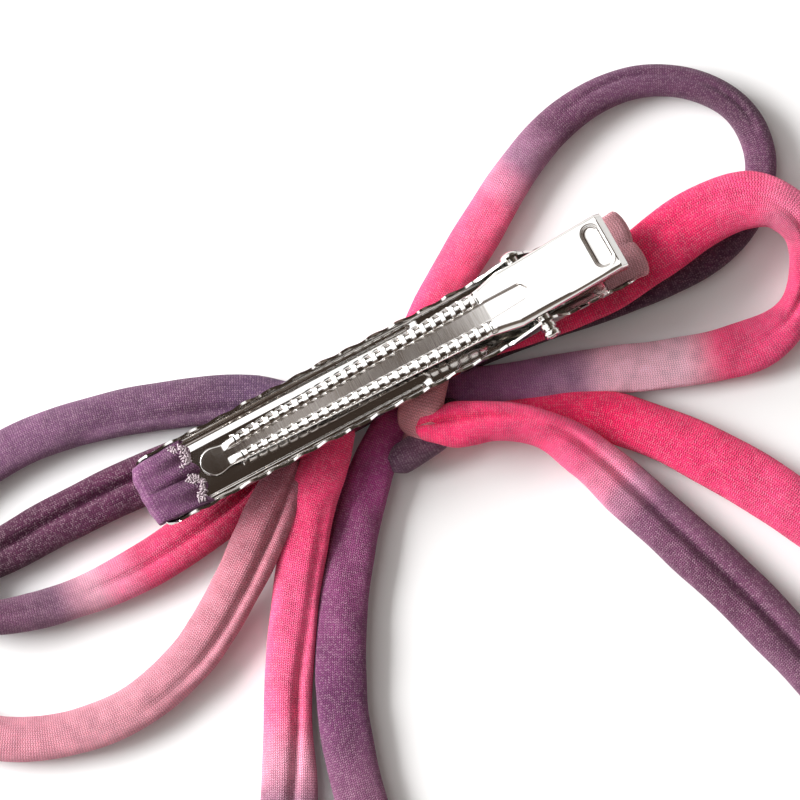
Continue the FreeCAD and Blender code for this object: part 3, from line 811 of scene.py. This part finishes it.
# %% Rivet
def turned(name, profile, axis_x, axis_z, material):
    """A closed turned piece about a line along Y.  The profile is (y, radius) in metres."""
    bm = bmesh.new()
    ring = [bm.verts.new((axis_x, y, axis_z + r)) for y, r in profile]
    edges = [bm.edges.new(pair) for pair in zip(ring, ring[1:])]
    bmesh.ops.spin(bm, geom=ring + edges, cent=(axis_x, 0, axis_z), axis=(0, 1, 0), angle=2 * pi,
                   steps=40, use_merge=True)
    bmesh.ops.remove_doubles(bm, verts=bm.verts[:], dist=0.001 * MM)
    bmesh.ops.recalc_face_normals(bm, faces=bm.faces[:])
    piece = finish_piece(name, bm, material)
    piece.data.set_sharp_from_angle(angle=radians(40))
    return piece


head_start, head_end = BASE_HALF, pin_high[1]
end = pin_low[1]
HEAD_RADIUS, COLLAR_RADIUS, BORE_RADIUS = 1.5 * MM, 1.2 * MM, 0.5 * MM
profile = [(end + 0.7 * MM, 0), (end + 0.7 * MM, BORE_RADIUS), (end + 0.12 * MM, 0.55 * MM),
           (end, 0.70 * MM), (end, 0.98 * MM), (end + 0.1 * MM, 1.12 * MM),
           (end + 0.28 * MM, COLLAR_RADIUS), (end + 0.75 * MM, COLLAR_RADIUS),
           (end + 0.95 * MM, 1.05 * MM), (end + 1.05 * MM, 0.92 * MM),
           (-BASE_HALF - 0.68 * MM, 0.92 * MM), (-BASE_HALF - 0.6 * MM, 1.05 * MM),
           (-BASE_HALF - 0.5 * MM, COLLAR_RADIUS), (-BASE_HALF, COLLAR_RADIUS),
           (-BASE_HALF, PIN_RADIUS), (head_start, PIN_RADIUS), (head_start, HEAD_RADIUS),
           (head_start + 0.15 * MM, HEAD_RADIUS)]
profile += [(head_start + 0.15 * MM + (head_end - head_start - 0.15 * MM) * sin(radians(a)),
             HEAD_RADIUS * cos(radians(a))) for a in range(10, 91, 10)]
rivet = turned("rivet", profile, PIN_X, PIN_Z, rivet_steel)
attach(rivet, "base")
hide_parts("pivot_pin")

# %% [markdown]
# The spring is a strip bent round the rivet: one leg lies on the floor, the other lifts the handle.

# %% Spring
spring_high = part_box("spring")[1]


def spring_path():
    """The strip's middle line in side view: lower leg, round the rivet, upper leg."""
    around = PIN_RADIUS + 0.35 * MM
    foot = Vector((PIN_X + 9 * MM, 0, FLOOR_Z + 0.35 * MM))
    lip = Vector((spring_high[0], 0, spring_high[2] - 0.25 * MM))
    bend = [Vector((PIN_X - around * sin(radians(a)), 0, PIN_Z - around * cos(radians(a))))
            for a in range(10, 171, 10)]
    lower = [foot.lerp(bend[0], i / 12) for i in range(12)]
    upper = [bend[-1].lerp(lip, (i + 1) / 12) for i in range(12)]
    return lower + bend + upper


def spring_point(index, across):
    """The strip's surface: a point of its path, moved sideways."""
    return strip[index] + Vector((0, across, 0))


strip = spring_path()
spring_half = spring_high[1]
spring = pressed_sheet("spring_strip", range(len(strip)), spread(-spring_half, spring_half, 0.5 * MM),
                       spring_point, 0.35 * MM, spring_steel)
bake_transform(spring)
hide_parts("spring")

# %% [markdown]
# The lining is one strip of the same jersey, glued under the base and folded back over both ends of
# its floor.  The tip's fold is puckered, with a frayed edge.  The tail's fold bulges in two lobes.

# %% Lining
TIP_FOLD, TAIL_FOLD = 7.0 * MM, 4.6 * MM
LINING_HALF = lining_high[1]
LINING_THICKNESS = 0.55 * MM


def lining_path():
    """Side view of the strip's middle line, from the tip's frayed edge to the tail's."""
    under = (lining_low[2] + FLOOR_Z - SHEET) / 2
    over = FLOOR_Z + 0.42 * MM
    middle, reach = (under + over) / 2, (over - under) / 2
    tip, tail = -BASE_END, BASE_END
    line = [Vector((x, 0, over)) for x in spread(tip + TIP_FOLD, tip + 0.3 * MM, 0.35 * MM)]
    line += [Vector((tip + 0.1 * MM - 0.75 * MM * sin(radians(a)), 0, middle + reach * cos(radians(a))))
             for a in range(15, 180, 15)]
    line += [Vector((x, 0, under)) for x in spread(tip + 0.3 * MM, tail - 0.3 * MM, 1.0 * MM)]
    line += [Vector((tail + 1.15 * MM * sin(radians(a)), 0, middle - reach * cos(radians(a))))
             for a in range(15, 180, 15)]
    return line + [Vector((x, 0, over)) for x in spread(tail - 0.3 * MM, tail - TAIL_FOLD, 0.35 * MM)]


def tip_puff(x, y):
    """How far the tip's fold stands up: a crown, with a pucker that runs in from its edge."""
    into = (x + BASE_END) / TIP_FOLD
    crown = 0.8 * MM * sqrt(max(0.0, 1 - (y / LINING_HALF) ** 2)) * sin(pi * min(1, 0.25 + 0.6 * into))
    slant = y + 0.2 * MM - 0.22 * (x + BASE_END - TIP_FOLD)
    pucker = exp(-(slant / (0.75 * MM)) ** 2) * ease(into * 1.25 - 0.2)
    ripple = noise.noise(Vector((x, y, 0)) / (1.6 * MM))
    return crown - 1.0 * MM * pucker + 0.25 * MM * ripple


def tail_puff(y):
    """Two soft lobes side by side at the tail."""
    return 0.75 * MM * sqrt(abs(sin(pi * (y + LINING_HALF) / LINING_HALF)))


def build_lining():
    """The strip as a sheet bent along its path, puffed at both folds, then thickened."""
    line = lining_path()
    far = lengths_along(line)
    across = spread(-LINING_HALF, LINING_HALF, 0.28 * MM)
    bm, spots = grid(len(line), len(across), knitted=True)
    colour_layer = bm.verts.layers.float_color["dye"]
    uv_layer = bm.loops.layers.uv["knit"]
    for vert, (i, j) in spots.items():
        vert.co = line[i] + Vector((0, across[j], 0))
        x, y, z = vert.co
        if x < 0 and z > FLOOR_Z - SHEET:
            vert.co.z += tip_puff(x, y) * ease((z - FLOOR_Z + SHEET) / (0.9 * MM))
            ragged = ease((x + BASE_END - TIP_FOLD + 1.2 * MM) / (1.2 * MM))
            vert.co.x += ragged * 0.45 * MM * sin(2.3 * y / MM + 0.8)
        if x < 0:
            tip_end = ease((1.8 * MM - BASE_END - x) / (2.2 * MM))
            bow_out = 1 - (y / LINING_HALF) ** 2 + 0.5 * noise.noise(Vector((y, 0, 7)) / (2 * MM))
            vert.co.x -= 0.55 * MM * tip_end * bow_out
            vert.co.y *= 1 - 0.13 * tip_end
        if x > BASE_END - TAIL_FOLD and z > lining_low[2]:
            lobe = tail_puff(y)
            vert.co.x += lobe * 0.9 * ease((x - BASE_END + 1.5 * MM) / (1.5 * MM))
            vert.co.z += lobe * 0.15 * ease((z - FLOOR_Z + SHEET) / (0.8 * MM))
        if z < FLOOR_Z - SHEET and abs(x) < BASE_END:
            vert.co.z -= 0.08 * MM * noise.noise(Vector((x, y, 0)) / (2.5 * MM))
        vert[colour_layer] = blend_stations(LINING_DYE, vert.co.x / MM)
    for face in bm.faces:
        for loop in face.loops:
            i, j = spots[loop.vert]
            loop[uv_layer].uv = (across[j] / MM, far[i] / MM)
    bmesh.ops.recalc_face_normals(bm, faces=bm.faces[:])
    bmesh.ops.solidify(bm, geom=bm.faces[:], thickness=LINING_THICKNESS)
    bmesh.ops.recalc_face_normals(bm, faces=bm.faces[:])
    return finish_piece("lining", bm, lining_jersey)


LINING_DYE = [(-39, *linear("#724068")), (-32, *linear("#7C4E74")), (-10, *linear("#8A5078")),
              (25, *linear("#B98088")), (39, *linear("#C38890"))]
lining = build_lining()

# %% [markdown]
# The frayed edge is the cut wales curling up into small loops of undyed yarn, in two bunches with
# the pucker between them.  Each curl is a short helix.

# %% Frayed yarn
def yarn(name, lines, thickness, material):
    """Thin yarns as round tubes, kept as one mesh."""
    mesh = spline_mesh(name, lines, 4, thickness)
    mesh.materials.append(material)
    mesh.name = name
    piece = bpy.data.objects.new(name, mesh)
    scene.collection.objects.link(piece)
    return piece


def curl(place, heading, radius, turns, rise):
    """A helix of yarn that starts at a place and runs along a heading."""
    side = heading.cross(Vector((0, 0, 1))).normalized()
    up = side.cross(heading)
    steps = int(turns * 8)
    return [place + heading * rise * i / steps
            + (side * cos(i * pi / 4) + up * (sin(i * pi / 4) + 0.6)) * radius for i in range(steps + 1)]


def cotton(name, tint):
    """Undyed cotton yarn: pale, matt, a little downy."""
    material, tree, shader = new_material(name)
    place = add(tree, "TexCoord").outputs["Object"]
    ply = add(tree, "TexNoise", {"Vector": place, "Scale": 5000}).outputs[0]
    colour = blend_colours(tree, ply, linear(tint), linear("#C4B4B8"))
    feed(tree, shader, {"Base Color": colour, "Roughness": 0.85, "Sheen Weight": 0.3})
    return material


fray_cotton = cotton("undyed_cotton_yarn", "#94828E")
FRAY_THICKNESS, THREAD_THICKNESS = 0.24 * MM, 0.06 * MM
fray_lines = []
for bunch_start, bunch_end, count in ((4.3, 0.9, 13), (-0.4, -4.2, 12)):
    for i in range(count):
        y = bunch_start + (bunch_end - bunch_start) * (i + 0.5) / count
        for layer in range(3):
            wobble = noise.noise(Vector((i * 1.7, layer * 3.1, bunch_start)))
            round_edge = 0.9 * sin(pi * (i + 0.5) / count)
            x = -BASE_END / MM + TIP_FOLD / MM - 1.0 - 0.5 * layer + 0.5 * wobble + round_edge
            z = FLOOR_Z / MM + 0.85 + 0.25 * wobble
            swing = 9 * noise.noise(Vector((y * 5.1, layer * 2.3, 4.7)))
            heading = Vector((cos(swing), sin(swing), 0.35 * wobble)).normalized()
            fray_lines.append(curl(Vector((x, y, z)) * MM, heading, (0.30 + 0.1 * wobble) * MM,
                                   1.25, 0.45 * MM))
fray = yarn("frayed_yarn", fray_lines, FRAY_THICKNESS, fray_cotton)
thread_points = [(8.5, -4.6, 11.4), (10.2, -3.4, 11.6), (12.4, -3.5, 11.8), (13.4, -4.5, 11.9),
                 (12.6, -5.2, 11.9), (11.0, -5.3, 11.8)]
thread_line = [Vector(p) * MM for p in thread_points]
loose_thread = yarn("loose_thread", [thread_line], THREAD_THICKNESS, fray_cotton)
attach(lining, "base")
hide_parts("lining_strip")
for piece in (fray, loose_thread):
    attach(piece, "base")

# %% [markdown]
# Under the clip the strands are gathered side by side and on top of one another, and a turn of
# strand ties them.  The turn comes out beside the clip in two bights, dusty pink over purple.

# %% Gathered strands and knot
def gathered(name, points, form, dye):
    """A short stretch of strand in the clip's own frame, in mm."""
    control = [Vector(p) * MM for p in points]
    line = route_line(name, control)
    marks = shares_of(line, control)
    return sleeve(name, line, places_along(marks, len(line)), form, dye, bow_jersey)


GATHERED = [(2.4, 2.2, PLUM, PURPLE), (-2.3, 2.2, HOT, PLUM),
            (2.2, 6.2, PURPLE, HOT), (-2.2, 6.2, DUSTY, HOT)]
for number, (y, z, code_a, code_b) in enumerate(GATHERED, start=1):
    name = f"gathered_strand_{number}"
    middle = 0.25 * y
    points = [(core_low[0] / MM + 0.6, y, z), (-12, 0.9 * y, z), (-4, middle + 0.55 * y, z + 0.2),
              (4, middle + 0.6 * y, z + 0.1), (core_high[0] / MM - 0.6, y, z)]
    piece = gathered(name, points, [(0, 4.3, 3.9, 0, 0.1, 0.3), (4, 4.3, 3.9, 0, -0.2, 0.3)],
                     [(0, code_a), (2, code_b), (4, code_b)])
    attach(piece, "base")
    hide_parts("bow_core")


def bow_points(points):
    """Points of the bow's frame in mm, as points of the clip's frame in mm."""
    return [from_bow(*p) / MM for p in points]


dusty_bight = gathered(
    "knot_dusty_bight",
    bow_points([(5.6, 1.5, 5.6), (5.0, -2.5, 6.6), (4.3, -5.6, 6.0), (3.6, -7.6, 4.0), (3.4, -7.2, 1.9)]),
    [(0, 6.6, 3.4, 0, 0, 0), (2, 6.2, 3.6, 0, 0, 0), (3, 5.2, 3.2, 0, 0.1, 0.1), (4, 4.2, 3.0, 0, 0, 0)],
    [(0, "#CC8088"), (1, "#DC929A"), (3, "#D0868E"), (4, PURPLE)])
purple_bight = gathered(
    "knot_purple_bight",
    bow_points([(-0.4, -12.2, 1.9), (1.6, -11.4, 2.8), (4.3, -9.8, 3.4), (6.9, -8.1, 3.6),
                (8.6, -5.6, 2.9), (8.4, -2.4, 2.4)]),
    [(0, 2.4, 2.4, 0, 0, 0), (1.2, 4.4, 3.6, 0, -0.2, 0.25), (3, 4.6, 3.6, 0, 0.3, 0.2),
     (5, 3.6, 3.0, 0, 0, 0)],
    [(0, "#4E2C46"), (2, "#67445A"), (5, PLUM)])
for piece in (dusty_bight, purple_bight):
    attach(piece, "base")
    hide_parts("bow_knot")

# %% [markdown]
# Hot glue holds the lining on the gathered strands: a flat pad, squeezed out unevenly.

# %% Glue
def hot_glue():
    """Milky, waxy, a little see-through."""
    material, tree, shader = new_material("hot_melt_glue")
    feed(tree, shader, {"Base Color": linear("#E9E2CF"), "Roughness": 0.32, "Subsurface Weight": 0.4,
                        "Subsurface Radius": (1, 0.9, 0.7), "Subsurface Scale": 1.5 * MM})
    return material


def glue_pad():
    """The pad: a ball pulled out to a soft-cornered slab with an uneven edge."""
    low, high = (Vector(c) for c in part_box("glue_pad"))
    size = high - low
    bm = bmesh.new()
    bmesh.ops.create_uvsphere(bm, u_segments=72, v_segments=24, radius=0.5)
    for vert in bm.verts:
        round_out = vert.co.normalized()
        squared = Vector((abs(c) ** 0.45 * (1 if c > 0 else -1) for c in round_out))
        ragged = 1 + 0.06 * noise.noise(round_out * 3)
        vert.co = (low + high) / 2 + Vector((squared.x * size.x * ragged / 2,
                                             squared.y * size.y * ragged / 2,
                                             squared.z * (size.z + 0.5 * MM) / 2))
    return finish_piece("glue", bm, hot_glue())


glue = glue_pad()
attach(glue, "base")
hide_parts("glue_pad")

# %% [markdown]
# The floor is a sheet of white paper.  It reflects like paper, and adds a little light of its own
# to the camera and to mirrors, so that it reads as a bright studio sweep but keeps the shadows.
#
# Plated metal shows what stands round it.  Here that is a bright window to the bow's left, pale low
# walls that fade upwards, and warm dark overhead.  Cloth and paper see all of it dimmer, so that the
# key panel makes the shadows.

# %% Floor, light and world
floor_bm = bmesh.new()
bmesh.ops.create_grid(floor_bm, x_segments=1, y_segments=1, size=3)
paper, paper_tree, paper_shader = new_material("white_paper")
paths = add(paper_tree, "LightPath")
seen = math(paper_tree, "MAXIMUM", paths.outputs["Is Camera Ray"], paths.outputs["Is Glossy Ray"])
seen = math(paper_tree, "MAXIMUM", seen, paths.outputs["Is Transmission Ray"])
glow = math(paper_tree, "MULTIPLY", seen, 0.03)
feed(paper_tree, paper_shader, {"Base Color": linear("#F2F2F2"), "Roughness": 0.9,
                                "Emission Color": (1, 1, 1, 1), "Emission Strength": glow})
floor_piece = finish_piece("floor", floor_bm, paper)

world = bpy.data.worlds.new("studio")
scene.world = world
world.use_nodes = True
sky = world.node_tree
sky.nodes.clear()
heading = add(sky, "TexCoord").outputs["Generated"]
lean = dot(sky, heading, from_bow(-1, 0, 0).normalized())
sideways = dot(sky, heading, from_bow(0, 1, 0).normalized())
rise = add(sky, "SeparateXYZ", {0: heading}).outputs[2]
window = remap(sky, lean, sin(radians(7)), sin(radians(15)), 0.0, 1.7, "SMOOTHSTEP")
near_edge = remap(sky, sideways, -0.55, -0.35, 0.0, 1.0)
far_edge = remap(sky, sideways, 0.66, 0.80, 1.0, 0.0)
window = math(sky, "MULTIPLY", window, math(sky, "MULTIPLY", near_edge, far_edge))
horizon = remap(sky, rise, 0.25, 0.60, 1.0, 0.22, "SMOOTHSTEP")
zenith = remap(sky, rise, 0.70, 0.92, 1.0, 0.07, "SMOOTHSTEP")
overhead = math(sky, "MAXIMUM", window, math(sky, "MINIMUM", horizon, zenith))
sky_paths = add(sky, "LightPath")
lost = math(sky, "MULTIPLY", sky_paths.outputs["Is Diffuse Ray"], 0.26)
shone = math(sky, "MULTIPLY", overhead, math(sky, "SUBTRACT", 1.0, lost))
strength = add(sky, "Mix", {0: sky_paths.outputs["Is Camera Ray"], 2: shone, 3: 1.0},
               data_type="FLOAT").outputs[0]
tone = blend_colours(sky, strength, linear("#D9B8A0"), (1, 1, 1, 1))
background = add(sky, "Background", {"Color": tone, "Strength": strength})
add(sky, "OutputWorld", {"Surface": background.outputs[0]})


def softbox(name, lean, towards, distance, width, height, power):
    """A panel lamp that leans from straight up towards a direction of the bow's frame."""
    data = bpy.data.lights.new(name, "AREA")
    data.shape = "RECTANGLE"
    data.size, data.size_y, data.energy = width, height, power
    lamp = bpy.data.objects.new(name, data)
    scene.collection.objects.link(lamp)
    spin = Matrix.Rotation(BOW_TURN + radians(towards), 4, "Z")
    lean_over = Matrix.Rotation(radians(lean), 4, "Y")
    lamp.matrix_world = spin @ lean_over @ Matrix.Translation((0, 0, distance))


softbox("key_panel", lean=62, towards=170, distance=0.8, width=0.35, height=0.6, power=14.0)

scene.view_settings.view_transform = "Standard"
